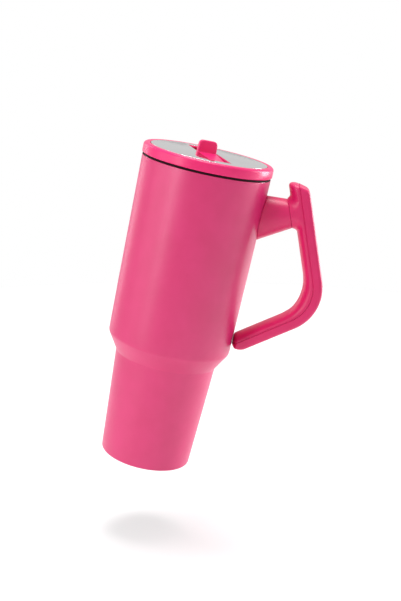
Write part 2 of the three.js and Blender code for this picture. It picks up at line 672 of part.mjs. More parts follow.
// The slider's channel sinks through the lid, with a rail groove in each side and the drinking hole
// through its floor.
function lidShell() {
  const tankSide = SLOT_HALF_WIDTH + CHANNEL_WALL;
  const tankBack = CHANNEL_BACK - CHANNEL_WALL;
  const tankFront = SLOT_FRONT + CHANNEL_WALL;
  const tankBottom = CHANNEL_FLOOR_TOP - CHANNEL_FLOOR;
  const tank = block(tankBack, tankFront, -tankSide, tankSide, tankBottom, PLATE_TOP);
  const insideSkirt = disc(SKIRT_RADIUS - SEAL_GROOVE / 2, tankBottom, PLATE_TOP);
  const railSide = SLOT_HALF_WIDTH + RAIL_DEPTH;
  const railTop = LID_TOP - RAIL_BELOW;
  const channelSide = SLOT_HALF_WIDTH;
  const channel = block(CHANNEL_BACK, SLOT_FRONT, -channelSide, channelSide, CHANNEL_FLOOR_TOP, LID_TOP);
  const rails = block(CHANNEL_BACK, SLOT_FRONT, -railSide, railSide, railTop - RAIL_HEIGHT, railTop);
  const sipSide = SLOT_HALF_WIDTH - SIP_SIDE_MARGIN;
  const sipOutline = rectangle(SIP_FRONT - SIP_LENGTH, SIP_FRONT, -sipSide, sipSide, SIP_CORNER);
  const sip = plate(outlineShape(sipOutline), tankBottom - OVERSHOOT, CHANNEL_FLOOR_TOP + OVERSHOOT);
  return toSolid(lidTurnedShell())
    .add(toSolid(tank).intersect(toSolid(insideSkirt)))
    .subtract(toSolid(channel))
    .subtract(toSolid(rails))
    .subtract(toSolid(sip));
}

function lidInlay() {
  const outline = outlineShape(
    rectangle(SLOT_BACK, SLOT_FRONT, -SLOT_HALF_WIDTH, SLOT_HALF_WIDTH, SLOT_CORNER),
  );
  const bottom = LID_TOP - INLAY_THICKNESS;
  const slot = plate(outline, bottom - OVERSHOOT, LID_TOP + OVERSHOOT);
  return toSolid(disc(INLAY_RADIUS, bottom, LID_TOP)).subtract(toSolid(slot));
}

function plugSeal() {
  const inside = SKIRT_RADIUS - SEAL_GROOVE + CLEARANCE;
  const outside = SKIRT_RADIUS + CLEARANCE;
  const rib = LINER_INSIDE - CLEARANCE;
  const top = RING_BOTTOM - SEAL_BELOW - CLEARANCE;
  const bottom = top - SEAL_HEIGHT + 2 * CLEARANCE;
  const quarter = (top - bottom) / 4;
  return turned([
    [inside, bottom],
    [outside, bottom],
    [rib, bottom + quarter],
    [outside, bottom + 2 * quarter],
    [rib, bottom + 3 * quarter],
    [outside, top],
    [inside, top],
  ]);
}

// The bar's top falls away from the tab: to the front for the lips, and to the back so that it passes
// under the inlay.
function sliderBar() {
  const barTop = LID_TOP - BAR_SUNK;
  const tabBack = TAB_FRONT - TAB_THICKNESS;
  const passes = SLOT_BACK + SLIDER_TRAVEL;
  const profile = outlineShape([
    [SLIDER_BACK, SLIDER_BOTTOM],
    [SLIDER_FRONT, SLIDER_BOTTOM],
    [SLIDER_FRONT, LID_TOP - BAR_FRONT_SUNK, BAR_EDGE],
    [TAB_FRONT + FLAT_FRONT, barTop],
    [tabBack - FLAT_BACK, barTop],
    [passes, LID_TOP - BAR_CLEARS_PLATE],
    [SLIDER_BACK, LID_TOP - BAR_BACK_SUNK, BAR_EDGE],
  ]);
  const runnerSide = SLOT_HALF_WIDTH + RAIL_DEPTH - CLEARANCE;
  const runnerTop = LID_TOP - RAIL_BELOW - CLEARANCE;
  const runnerBottom = runnerTop - RAIL_HEIGHT + 2 * CLEARANCE;
  const runners = block(SLIDER_BACK, SLIDER_FRONT, -runnerSide, runnerSide, runnerBottom, runnerTop);
  const tabSide = SLOT_HALF_WIDTH - TAB_MARGIN;
  const tabOutline = outlineShape([
    [-tabSide, barTop - TAB_ROOT],
    [tabSide, barTop - TAB_ROOT],
    [tabSide - TAB_TAPER, barTop + TAB_HEIGHT, TAB_CORNER],
    [-tabSide + TAB_TAPER, barTop + TAB_HEIGHT, TAB_CORNER],
  ]);
  const tab = plate(tabOutline, tabBack, TAB_FRONT)
    .applyMatrix4(new THREE.Matrix4().makeBasis(
      new THREE.Vector3(0, 1, 0),
      new THREE.Vector3(0, 0, 1),
      new THREE.Vector3(1, 0, 0),
    ));
  return toSolid(upright(profile, SLOT_HALF_WIDTH - CLEARANCE))
    .add(toSolid(runners))
    .add(toSolid(tab));
}

function sliderSeal() {
  const reach = SIP_MARGIN - 2 * CLEARANCE; // past the hole at each end
  const side = SLOT_HALF_WIDTH - SEAL_SIDE_MARGIN;
  const back = SIP_FRONT - SIP_LENGTH - reach;
  const bottom = CHANNEL_FLOOR_TOP + CLEARANCE;
  const outline = outlineShape(rectangle(back, SIP_FRONT + reach, -side, side, SEAL_CORNER));
  return plate(outline, bottom, bottom + SLIDER_SEAL);
}

function lid() {
  const parts = new THREE.Group();
  parts.rotation.z = degToRad(SIP_DIRECTION);
  const gasketBottom = BODY_HEIGHT + CLEARANCE;
  const gasketTop = RING_BOTTOM - CLEARANCE;
  const gasket = ring(LINER_INSIDE + CLEARANCE, RIM_RADIUS - GASKET_INSET, gasketBottom, gasketTop);
  parts.add(
    toMesh('lid_shell', lidShell(), PINK_PLASTIC),
    toMesh('lid_inlay', lidInlay(), STEEL),
    toMesh('rim_gasket', toSolid(gasket), BLACK_RUBBER),
    toMesh('plug_seal', toSolid(plugSeal()), CLEAR_SILICONE),
    toMesh('slider_bar', sliderBar(), PINK_PLASTIC),
    toMesh('slider_seal', toSolid(sliderSeal()), CLEAR_SILICONE),
  );
  return parts;
}

// ---------------------------------------------------------------- assembly
const tumbler = new THREE.Group();
swivelFrame.add(swivelFittings(), handleBar());
tumbler.add(body(), swivelFrame, lid());

export default tumbler;
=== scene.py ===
import json
import math

import bpy
import numpy as np
from mathutils import Matrix, Vector


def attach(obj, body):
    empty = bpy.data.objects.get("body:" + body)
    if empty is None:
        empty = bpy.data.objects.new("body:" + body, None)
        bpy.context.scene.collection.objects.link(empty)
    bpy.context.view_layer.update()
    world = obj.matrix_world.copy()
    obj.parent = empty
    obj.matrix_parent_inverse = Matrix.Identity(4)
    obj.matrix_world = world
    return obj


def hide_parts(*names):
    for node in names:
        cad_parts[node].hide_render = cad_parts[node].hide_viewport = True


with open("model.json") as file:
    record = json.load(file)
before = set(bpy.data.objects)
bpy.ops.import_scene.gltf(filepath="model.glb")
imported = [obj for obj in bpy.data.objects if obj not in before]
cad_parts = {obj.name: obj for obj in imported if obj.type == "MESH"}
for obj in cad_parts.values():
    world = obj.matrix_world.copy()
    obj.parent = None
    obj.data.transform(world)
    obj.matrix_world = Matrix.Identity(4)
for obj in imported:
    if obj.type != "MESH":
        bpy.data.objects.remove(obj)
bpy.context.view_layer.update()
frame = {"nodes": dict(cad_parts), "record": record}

MM = 0.001
TAU = 2 * math.pi

# ---------------------------------------------------------------- camera
LENS, SENSOR = 66.70, 36
NEAR_CLIP = 0.01
ELEVATION = math.radians(13.98)
ROLL = math.radians(12.45)
STAND = Vector((0.01782, -0.86518, 0.35328))

forward = Vector((0, math.cos(ELEVATION), -math.sin(ELEVATION)))
level_down = Vector((0, -math.sin(ELEVATION), -math.cos(ELEVATION)))
level_right = Vector((1, 0, 0))
image_right = math.cos(ROLL) * level_right - math.sin(ROLL) * level_down
image_down = math.sin(ROLL) * level_right + math.cos(ROLL) * level_down


def facing(right, up, back, at):
    """A placing whose X, Y and Z axes are the three directions."""
    turned = Matrix((right, up, back)).transposed().to_4x4()
    return Matrix.Translation(at) @ turned


camera = bpy.data.objects.new("camera", bpy.data.cameras.new("camera"))
camera.data.lens = LENS
camera.data.sensor_width = SENSOR
camera.data.clip_start = NEAR_CLIP
camera.matrix_world = facing(image_right, -image_down, -forward, STAND)
bpy.context.scene.collection.objects.link(camera)
bpy.context.scene.camera = camera

# ---------------------------------------------------------------- sizes, in millimetres
GAP = 0.3
BODY_HEIGHT = 244
RIM_RADIUS = 51
SHOULDER_RADIUS, SHOULDER_TOP = 49.5, 100.6
CUP_RADIUS, SHOULDER_BOTTOM = 40.8, 86.2
FOOT_RADIUS = 36.4
OUTER_WALL, LINER_WALL, VACUUM_GAP = 0.7, 0.6, 2.6
LINER_OFFSET = OUTER_WALL + VACUUM_GAP
LINER_FLOOR, FLOOR_ROUND, LIP_FLARE, LIP_LAND = 14, 6, 6, 1
SHOULDER_ROUND, CUP_ROUND, FOOT_ROUND, TIGHTEST_BEND = 5, 2.5, 2.5, 1
LIP_BEND, LIP_LAND_BEND, LIP_EDGE, SHEET_EDGE = 3, 1, 0.25, 0.2
PAD_PROUD, FOOT_OPENING, BASE_PLATE, PORT_RADIUS = 0.5, 31, 0.8, 3
PLATE_EDGE, PORT_EDGE, PAD_EDGE, PAD_TOP_EDGE = 0.3, 0.15, 0.4, 0.3
PAD_RINGS, FIRST_RING, RING_SPACING = 3, 0.42, 0.17  # places as shares of the pad's radius
PRESS_DEPTH, PRESS_SLOPE, PRESS_WIDTH, PRESS_EDGE = 0.35, 0.4, 2, 0.2

SWIVEL_HEIGHT = 221.65
SWIVEL_LEAN = 21
BOSS_REACH, BOSS_RADIUS, BOSS_FLARE, BOSS_RISE = 19.8, 11.8, 0.25, 0.07
BOSS_WIDEN, BOSS_SEAT, BOSS_PROUD, BOSS_EDGE = 0.04, 0.05, 0.04, 0.3
SWIVEL_GAP, STUD_RADIUS, BOSS_FLOOR, BOLT_RADIUS = 1.2, 8, 3, 5
BOSS_FACE = SWIVEL_GAP - GAP
POCKET_WALL = 1.1
WASHER_EDGE, WASHER_BORE_EDGE = 0.2, 0.1
HUB_SEAT, HUB_RADIUS, BOLT_HEAD_RADIUS, BUSH_RADIUS = 6.2, 10.1, 8, 6.6
HUB_BACK, BORE_SPARE = 2, 1

BAR_THICKNESS, BAR_DEPTH, BAR_WALL, BAR_CORNER = 13.1, 24.5, 2.4, 3
FACE_INSET = 0.08
OUTER_FACE = BAR_THICKNESS / 2 - FACE_INSET
CREASE, CROWN_STEP, SEAM = 1, 0.4, 0.01
NECK_LENGTH = 5.6
BAR_CENTRE = NECK_LENGTH + BAR_THICKNESS / 2
NECK_FLARE, NECK_PROUD, NECK_EDGE = 3.6, 0.18, 0.3
OUTER_TOP_EDGE, INNER_TOP_EDGE, UNDER_EDGE, NOSE_EDGE = 2, 4.6, 1.2, 0.8
FLAT_EDGE, SEAM_EDGE = 0.4, 0.05
POST, CAP_TILT, POST_FLARE, LEAN_START, LEAN_FULL, TOP_WALL = 20.6, 35, 1.3, 2, 14, 10
GRIP, GRIP_SWELL, BEND_RADIUS, BEND_FILL, BEND_REACH, ARM_SLOPE = 78.4, 1.1, 29.45, 2.3, 26, 36
TIP_STANDOFF, TIP_ROUND, NOSE_ROUND, NOSE_GAP = 7.8, 10.8, 24, 0.12
PLUG_RADIUS, PLUG_EDGE = 9.2, 0.5
DISH_RIM, DISH_FLOOR, DISH_DEPTH, DISH_EDGE = 0.72, 0.62, 0.35, 0.6  # rim and floor as shares of the radius

SEAM_GAP, RING_HEIGHT, RING_PROUD = 1.8, 8, 0.54
RING_BOTTOM = BODY_HEIGHT + SEAM_GAP
LID_TOP = RING_BOTTOM + RING_HEIGHT
LID_RADIUS = RIM_RADIUS + RING_PROUD
RING_ROUND, LID_EDGE, INLAY_EDGE, LID_FILLET = 3, 0.8, 0.5, 1.5
SEAT_EDGE, SKIRT_TOP_EDGE, GROOVE_EDGE = 0.1, 0.3, 0.2
INLAY_RADIUS, INLAY_THICKNESS, INLAY_BEVEL, BEVEL_STEPS = 46.3, 1.2, 0.12, 4
SLOT_FRONT_MARGIN, SLOT_BACK_MARGIN, SLOT_CORNER, SLOT_STEP = 11.3, 9, 0.6, 1.5
PLATE_TOP = LID_TOP - INLAY_THICKNESS - GAP
LID_PLATE, SKIRT_DEPTH, SKIRT_WALL, SKIRT_GAP = 2.2, 13.4, 2.4, 0.9
GASKET_INSET, GASKET_EDGE, GASKET_INNER_EDGE = 0.2, 0.35, 0.15
SEAL_GROOVE, SEAL_HEIGHT, SEAL_BELOW = 1.2, 5, 4.4
SEAL_EDGE, SEAL_RIB_EDGE, SEAL_VALLEY = 0.2, 0.25, 0.4
SIP_DIRECTION = math.radians(-72.5)
SLOT_HALF, CHANNEL_WALL, CHANNEL_FLOOR = 8.3, 2.6, 2
CHANNEL_DEPTH, TANK_SUNK, CUT_SPARE = 7.8, 0.4, 1
CHANNEL_FLOOR_TOP = LID_TOP - CHANNEL_DEPTH
RAIL_DEPTH, RAIL_HEIGHT, RAIL_BELOW, SLIDER_TRAVEL = 1.1, 1.8, 3.2, 13.5
SIP_LENGTH, SIP_HALF, SIP_MARGIN, SIP_CORNER = 12, 6, 2.6, 4
SLIDER_SEAL, SEAL_SIDE_INSET, SEAL_CORNER, SLIDER_SEAL_EDGE = 1.5, 1, 2, 0.4
BACK_END_SUNK, BACK_SUNK, FRONT_END_SUNK, TAB_ROOT_SUNK = 2.2, 1.8, 2.8, 0.4
BAR_SIDE_EDGE, BAR_END_EDGE, BAR_FOOT_EDGE = 0.45, 0.6, 0.3
TAB_FRONT, TAB_THICKNESS, TAB_HEIGHT, TAB_LAND_BACK, TAB_LAND_FRONT = -7, 4, 9.4, 2, 3
TAB_HALF, TAB_TAPER, TAB_CORNER, TAB_EDGE, TAB_FILLET, TAB_BURIED = 7.9, 0.6, 3, 0.9, 0.8, 1


def wall_radius(height):
    """Outer radius of the steel body."""
    return np.interp(
        height,
        [0, SHOULDER_BOTTOM, SHOULDER_TOP, BODY_HEIGHT],
        [FOOT_RADIUS, CUP_RADIUS, SHOULDER_RADIUS, RIM_RADIUS],
    )


LINER_INSIDE = wall_radius(BODY_HEIGHT - LIP_FLARE) - LINER_OFFSET - LINER_WALL
SKIRT_RADIUS = LINER_INSIDE - SKIRT_GAP
SLOT_FRONT = INLAY_RADIUS - SLOT_FRONT_MARGIN
SLOT_BACK = -(INLAY_RADIUS - SLOT_BACK_MARGIN)
CHANNEL_BACK = -(SKIRT_RADIUS - CHANNEL_WALL)
SLIDER_FRONT = SLOT_FRONT - GAP
SLIDER_BACK = CHANNEL_BACK + GAP + SLIDER_TRAVEL
SLIDER_BOTTOM = CHANNEL_FLOOR_TOP + SLIDER_SEAL + 2 * GAP
SIP_FRONT = SLOT_FRONT - SIP_MARGIN

# Cell sizes of the meshed fields, and the room round them.
BAR_CELL, BOSS_CELL, SLIDER_CELL = 0.6, 0.5, 0.4
BOX_SPARE, TOP_ROOM, TIP_ROOM, LOW_ROOM, FAR_ROOM = 1, 7, 16, 4, 6
BOSS_SPREAD, BOSS_ROOM, BOSS_DEPTH = 1.5, 4, 1.75

SWIVEL_AT = (wall_radius(SWIVEL_HEIGHT) + BOSS_REACH, 0, SWIVEL_HEIGHT)
SWIVEL = Matrix.Translation(SWIVEL_AT) @ Matrix.Rotation(math.radians(90 - SWIVEL_LEAN), 4, "Y")
LID = Matrix.Rotation(SIP_DIRECTION, 4, "Z")

# ---------------------------------------------------------------- materials


def linear(level):
    """A screen level from 0 to 1 in the linear value that shaders take."""
    return level / 12.92 if level <= 0.04045 else ((level + 0.055) / 1.055) ** 2.4


def srgb(r, g, b):
    """A colour given as 0 to 255 on screen."""
    return (linear(r / 255), linear(g / 255), linear(b / 255), 1)


NOISE_LOW, NOISE_HIGH = 0.3, 0.7  # most of a noise texture lies between these


class Look:
    """A Principled material whose colour, roughness and surface relief come from noise."""

    def __init__(self, name, **fixed):
        self.material = bpy.data.materials.new(name)
        self.material.use_nodes = True
        self.nodes = self.material.node_tree.nodes
        self.links = self.material.node_tree.links
        self.shader = self.nodes["Principled BSDF"]
        for socket, value in fixed.items():
            self.shader.inputs[socket.replace("_", " ")].default_value = value
        self.place = self.nodes.new("ShaderNodeTexCoord").outputs["Object"]
        self.normal = None

    def stretched(self, scale):
        mapping = self.nodes.new("ShaderNodeMapping")
        mapping.inputs["Scale"].default_value = scale
        self.links.new(self.place, mapping.inputs["Vector"])
        return mapping.outputs["Vector"]

    def noise(self, scale, detail=3, stretch=None):
        texture = self.nodes.new("ShaderNodeTexNoise")
        texture.inputs["Scale"].default_value = scale
        texture.inputs["Detail"].default_value = detail
        self.links.new(self.stretched(stretch) if stretch else self.place, texture.inputs["Vector"])
        return texture.outputs["Fac"]

    def ramp(self, factor, stops):
        ramp = self.nodes.new("ShaderNodeValToRGB")
        for element, (position, colour) in zip(ramp.color_ramp.elements, stops):
            element.position = position
            element.color = colour
        self.links.new(factor, ramp.inputs["Fac"])
        return ramp.outputs["Color"]

    def colour(self, factor, low, high):
        shade = self.ramp(factor, [(NOISE_LOW, low), (NOISE_HIGH, high)])
        self.links.new(shade, self.shader.inputs["Base Color"])

    def roughness(self, factor, low, high):
        span = self.nodes.new("ShaderNodeMapRange")
        span.inputs["From Min"].default_value = NOISE_LOW
        span.inputs["From Max"].default_value = NOISE_HIGH
        span.inputs["To Min"].default_value = low
        span.inputs["To Max"].default_value = high
        self.links.new(factor, span.inputs["Value"])
        self.links.new(span.outputs["Result"], self.shader.inputs["Roughness"])

    def relief(self, factor, strength, distance):
        bump = self.nodes.new("ShaderNodeBump")
        bump.inputs["Strength"].default_value = strength
        bump.inputs["Distance"].default_value = distance
        self.links.new(factor, bump.inputs["Height"])
        if self.normal:
            self.links.new(self.normal, bump.inputs["Normal"])
        self.normal = bump.outputs["Normal"]
        self.links.new(self.normal, self.shader.inputs["Normal"])


def powder_coat():
    look = Look("powder_coat", Specular_IOR_Level=0.8)
    look.colour(look.noise(55, 2), srgb(203, 20, 98), srgb(208, 27, 104))
    look.roughness(look.noise(420, 3), 0.36, 0.42)
    look.relief(look.noise(700, 2), 0.12, 0.00006)
    look.relief(look.noise(2600, 2), 0.14, 0.00003)
    return look.material


def moulded(name, low, high, rough):
    look = Look(name, Specular_IOR_Level=0.5)
    look.colour(look.noise(40, 2), low, high)
    look.roughness(look.noise(300, 3), rough - 0.03, rough + 0.04)
    look.relief(look.noise(1900, 3), 0.12, 0.00004)
    return look.material


def spun_steel(name, low, high, rough):
    look = Look(name, Metallic=1.0)
    lines = look.noise(1, 4, stretch=(30, 30, 2600))
    look.colour(look.noise(60, 3), low, high)
    look.roughness(lines, rough - 0.05, rough + 0.07)
    look.relief(lines, 0.1, 0.00004)
    return look.material


def brushed_disc():
    look = Look("inlay_steel", Metallic=1.0)
    lines = look.noise(1, 3, stretch=(2400, 26, 400))
    clouds = look.noise(45, 2)
    look.colour(clouds, srgb(236, 234, 235), srgb(242, 241, 241))
    look.roughness(lines, 0.06, 0.14)
    look.relief(lines, 0.02, 0.00002)
    return look.material


def rubber():
    look = Look("black_rubber", Specular_IOR_Level=0.15)
    look.colour(look.noise(90, 3), srgb(28, 4, 10), srgb(40, 10, 18))
    look.roughness(look.noise(260, 3), 0.62, 0.8)
    look.relief(look.noise(1500, 3), 0.25, 0.00006)
    return look.material


def silicone():
    look = Look("clear_silicone", Specular_IOR_Level=0.4, Subsurface_Weight=0.35, Subsurface_Scale=0.002)
    look.colour(look.noise(70, 2), srgb(226, 220, 220), srgb(238, 233, 232))
    look.roughness(look.noise(300, 2), 0.4, 0.52)
    look.relief(look.noise(900, 2), 0.12, 0.00005)
    return look.material


def nylon():
    look = Look("dark_nylon", Specular_IOR_Level=0.4)
    look.colour(look.noise(120, 2), srgb(84, 4, 26), srgb(104, 8, 36))
    look.roughness(look.noise(300, 2), 0.5, 0.62)
    look.relief(look.noise(1400, 2), 0.12, 0.00004)
    return look.material


def turned_steel():
    look = Look("fastener_steel", Metallic=1.0)
    look.colour(look.noise(150, 3), srgb(190, 190, 192), srgb(214, 214, 216))
    look.roughness(look.noise(700, 3), 0.24, 0.38)
    look.relief(look.noise(1800, 3), 0.1, 0.00004)
    return look.material


LOOKS = {
    "powder_coat": powder_coat(),
    "pink_plastic": moulded("pink_plastic", srgb(206, 20, 92), srgb(212, 26, 99), 0.36),
    "lid_plastic": moulded("lid_plastic", srgb(226, 24, 104), srgb(231, 30, 110), 0.33),
    "liner_steel": spun_steel("liner_steel", srgb(204, 203, 204), srgb(219, 218, 219), 0.28),
    "inlay_steel": brushed_disc(),
    "fastener_steel": turned_steel(),
    "black_rubber": rubber(),
    "clear_silicone": silicone(),
    "dark_nylon": nylon(),
}

# ---------------------------------------------------------------- mesh making


def add_mesh(name, points, faces, place=Matrix.Identity(4), crease=48):
    """A shaded object from points in millimetres in a frame of their own."""
    turn = np.array(place)
    world = (np.asarray(points) @ turn[:3, :3].T + turn[:3, 3]) * MM
    mesh = bpy.data.meshes.new(name)
    mesh.from_pydata(world.tolist(), [], faces)
    mesh.validate()
    shade(mesh, crease)
    piece = bpy.data.objects.new(name, mesh)
    bpy.context.scene.collection.objects.link(piece)
    return piece


def shade(mesh, crease):
    """Smooth shading, with an edge kept sharp where its faces turn by more than `crease` degrees."""
    mesh.shade_smooth()
    mesh.set_sharp_from_angle(angle=math.radians(crease))
    mesh.update()


def clad(piece, body, node, slot):
    """Stands for a CAD node: its body, its record slot and its material."""
    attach(piece, body)
    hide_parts(node)
    piece.data.materials.clear()
    piece.data.materials.append(LOOKS[slot])
    return piece


MOST_OF_A_SIDE = 0.48  # how far a corner's rounding may reach along its shorter side


def rounded(corners, closed=True, turn_step=9):
    """Corners (x, y, radius) joined by straight lines, each rounded by its radius."""
    points = []
    count = len(corners)
    for i, corner in enumerate(corners):
        here = Vector(corner[:2])
        radius = corner[2] if len(corner) > 2 else 0
        if not radius or (not closed and i in (0, count - 1)):
            points.append(here)
            continue
        before = Vector(corners[i - 1][:2]) - here
        after = Vector(corners[(i + 1) % count][:2]) - here
        limit = MOST_OF_A_SIDE * min(before.length, after.length)
        before.normalize()
        after.normalize()
        half = before.angle(after) / 2
        reach = min(radius / math.tan(half), limit)
        fillet = reach * math.tan(half)
        centre = here + (before + after).normalized() * (fillet / math.sin(half))
        first = here + before * reach - centre
        last = here + after * reach - centre
        turn = math.atan2(first.x * last.y - first.y * last.x, first.dot(last))
        steps = max(2, math.ceil(abs(math.degrees(turn)) / turn_step))
        for step in range(steps + 1):
            angle = turn * step / steps
            c, s = math.cos(angle), math.sin(angle)
            points.append(centre + Vector((first.x * c - first.y * s, first.x * s + first.y * c)))
    return [tuple(p) for p in points]


def split_long(points, longest, closed):
    """The same outline with no straight step longer than `longest`."""
    fine = []
    pairs = list(zip(points, points[1:] + points[:1]))
    for (x0, y0), (x1, y1) in pairs if closed else pairs[:-1]:
        steps = max(1, math.ceil(math.hypot(x1 - x0, y1 - y0) / longest))
        fine += [(x0 + (x1 - x0) * i / steps, y0 + (y1 - y0) * i / steps) for i in range(steps)]
    return fine if closed else fine + [points[-1]]


def revolve(name, corners, sides=192, place=Matrix.Identity(4), longest=12):
    """A profile (radius, height, rounding) turned about Z. It may start and end on the axis."""
    on_axis = corners[0][0] == 0
    profile = split_long(rounded(corners, closed=not on_axis), longest, closed=not on_axis)
    if on_axis:
        caps, profile = (profile[0], profile[-1]), profile[1:-1]
    angles = np.arange(sides) * TAU / sides
    r = np.array([p[0] for p in profile])[:, None]
    z = np.array([p[1] for p in profile])[:, None] + 0 * angles
    points = np.stack([r * np.cos(angles), r * np.sin(angles), z], axis=-1).reshape(-1, 3)
    rows = len(profile)
    faces = []
    for i in range(rows if not on_axis else rows - 1):
        j = (i + 1) % rows
        for k in range(sides):
            n = (k + 1) % sides
            faces.append((i * sides + k, i * sides + n, j * sides + n, j * sides + k))
    if on_axis:
        points = np.vstack([points, [[0, 0, caps[0][1]], [0, 0, caps[1][1]]]])
        first, last = len(points) - 2, len(points) - 1
        for k in range(sides):
            n = (k + 1) % sides
            faces.append((first, n, k))
            faces.append((last, (rows - 1) * sides + k, (rows - 1) * sides + n))
    return outwards(add_mesh(name, points, faces, place))


def outwards(piece):
    """Turns the faces outwards if the mesh is inside out."""
    mesh = piece.data
    mesh.calc_loop_triangles()
    volume = 0
    for triangle in mesh.loop_triangles:
        a, b, c = (mesh.vertices[i].co for i in triangle.vertices)
        volume += a.dot(b.cross(c))
    if volume < 0:
        mesh.flip_normals()
    return piece


def prism(name, outline, bottom, top, place=Matrix.Identity(4)):
    """A convex outline raised from `bottom` to `top`; used to cut with."""
    count = len(outline)
    points = [(x, y, z) for z in (bottom, top) for x, y in outline]
    faces = [tuple(range(count))[::-1], tuple(range(count, 2 * count))]
    for i in range(count):
        j = (i + 1) % count
        faces.append((i, j, count + j, count + i))
    return outwards(add_mesh(name, points, faces, place))


def rectangle(x0, x1, y0, y1, radius=0):
    return [(x0, y0, radius), (x1, y0, radius), (x1, y1, radius), (x0, y1, radius)]


def block(x0, x1, y0, y1, z0, z1, place=Matrix.Identity(4)):
    return prism("cutter", [(x0, y0), (x1, y0), (x1, y1), (x0, y1)], z0, z1, place)


def combine(piece, other, operation, crease=35):
    """Joins a solid to a piece, or cuts it from the piece, and removes the other solid."""
    change = piece.modifiers.new("combine", "BOOLEAN")
    change.operation = operation
    change.solver = "EXACT"
    change.object = other
    graph = bpy.context.evaluated_depsgraph_get()
    mesh = bpy.data.meshes.new_from_object(piece.evaluated_get(graph))
    piece.modifiers.clear()
    piece.data = mesh
    bpy.data.objects.remove(other)
    shade(mesh, crease)
    return piece


# ---------------------------------------------------------------- shapes given by a field


def round_max(a, b, radius):
    """Where both fields are negative, with the edge between them rounded."""
    beyond = np.hypot(np.maximum(a + radius, 0), np.maximum(b + radius, 0))
    return np.minimum(np.maximum(a, b), -radius) + beyond


def round_min(a, b, radius):
    """Where either field is negative, with the corner between them filled."""
    beyond = np.hypot(np.maximum(radius - a, 0), np.maximum(radius - b, 0))
    return np.maximum(np.minimum(a, b), radius) - beyond


EDGE_CELLS = ((0, 0), (-1, 0), (-1, -1), (0, -1))  # the four cells round a grid edge
EDGE_CELLS_OUT = 2  # empty cells left round a field
SMOOTHINGS = (0.6, 0.6, 0.5, 0, 0)
SLOPE_STEP, LONGEST_MOVE = 0.2, 0.5  # shares of a cell


def surface(field, low, high, cell):
    """Points and four-sided faces on the zero surface of a field of x, y and z."""
    low = np.array(low, float) - EDGE_CELLS_OUT * cell
    shape = [int(math.ceil((h - l) / cell)) + EDGE_CELLS_OUT + 1 for l, h in zip(low, high)]
    grid = np.meshgrid(*[l + cell * np.arange(n) for l, n in zip(low, shape)], indexing="ij")
    values = field(*grid)
    inside = values < 0
    total = np.zeros([n - 1 for n in shape] + [3])
    count = np.zeros([n - 1 for n in shape])
    loops = []
    for axis in range(3):
        start = tuple(slice(0, -1) if i == axis else slice(None) for i in range(3))
        end = tuple(slice(1, None) if i == axis else slice(None) for i in range(3))
        crossed = inside[start] != inside[end]
        at = np.argwhere(crossed)
        a, b = values[start][crossed], values[end][crossed]
        point = at.astype(float)
        point[:, axis] += a / (a - b)
        around = []
        for du, dv in EDGE_CELLS:
            index = at.copy()
            index[:, (axis + 1) % 3] += du
            index[:, (axis + 2) % 3] += dv
            index = tuple(index.T)
            np.add.at(total, index, point)
            np.add.at(count, index, 1)
            around.append(index)
        loops.append((around, a < 0))
    used = count > 0
    number = np.full(count.shape, -1)
    number[used] = np.arange(used.sum())
    points = low + cell * total[used] / count[used][:, None]
    quads = []
    for around, leaving in loops:
        quad = np.stack([number[index] for index in around], axis=1)
        quads.append(np.where(leaving[:, None], quad, quad[:, ::-1]))
    quads = np.vstack(quads)
    return settle(field, points, quads, cell), quads


def settle(field, points, quads, cell):
    """Spreads the points evenly and draws each onto the field's surface."""
    step = SLOPE_STEP * cell
    most = LONGEST_MOVE * cell

    def slope(p):
        g = np.empty_like(p)
        for axis in range(3):
            move = np.zeros(3)
            move[axis] = step
            g[:, axis] = (field(*(p + move).T) - field(*(p - move).T)) / (2 * step)
        return g

    ends = np.concatenate([quads[:, [i, (i + 1) % 4]] for i in range(4)])
    ends = np.vstack([ends, ends[:, ::-1]])
    share = np.bincount(ends[:, 0], minlength=len(points))[:, None]
    for smoothing in SMOOTHINGS:
        g = slope(points)
        size = np.maximum((g * g).sum(axis=1, keepdims=True), 1e-6)
        if smoothing:
            near = [np.bincount(ends[:, 0], points[ends[:, 1], i], len(points)) for i in range(3)]
            move = np.stack(near, 1) / share - points
            move -= g * ((move * g).sum(axis=1, keepdims=True) / size)
            points = points + smoothing * move
        off = field(*points.T)[:, None]
        points = points - np.clip(off * g / size, -most, most)
    return points


def from_field(name, field, low, high, cell, place):
    points, quads = surface(field, low, high, cell)
    return add_mesh(name, points, quads.tolist(), place, crease=50)


# ---------------------------------------------------------------- steel body


def wall_corners(inset, top):
    """The wall's profile from the shoulder's foot up to `top`, moved in by `inset`."""
    return [
        (CUP_RADIUS - inset, SHOULDER_BOTTOM, CUP_ROUND + inset),
        (SHOULDER_RADIUS - inset, SHOULDER_TOP, max(SHOULDER_ROUND - inset, TIGHTEST_BEND)),
        (wall_radius(top) - inset, top),
    ]


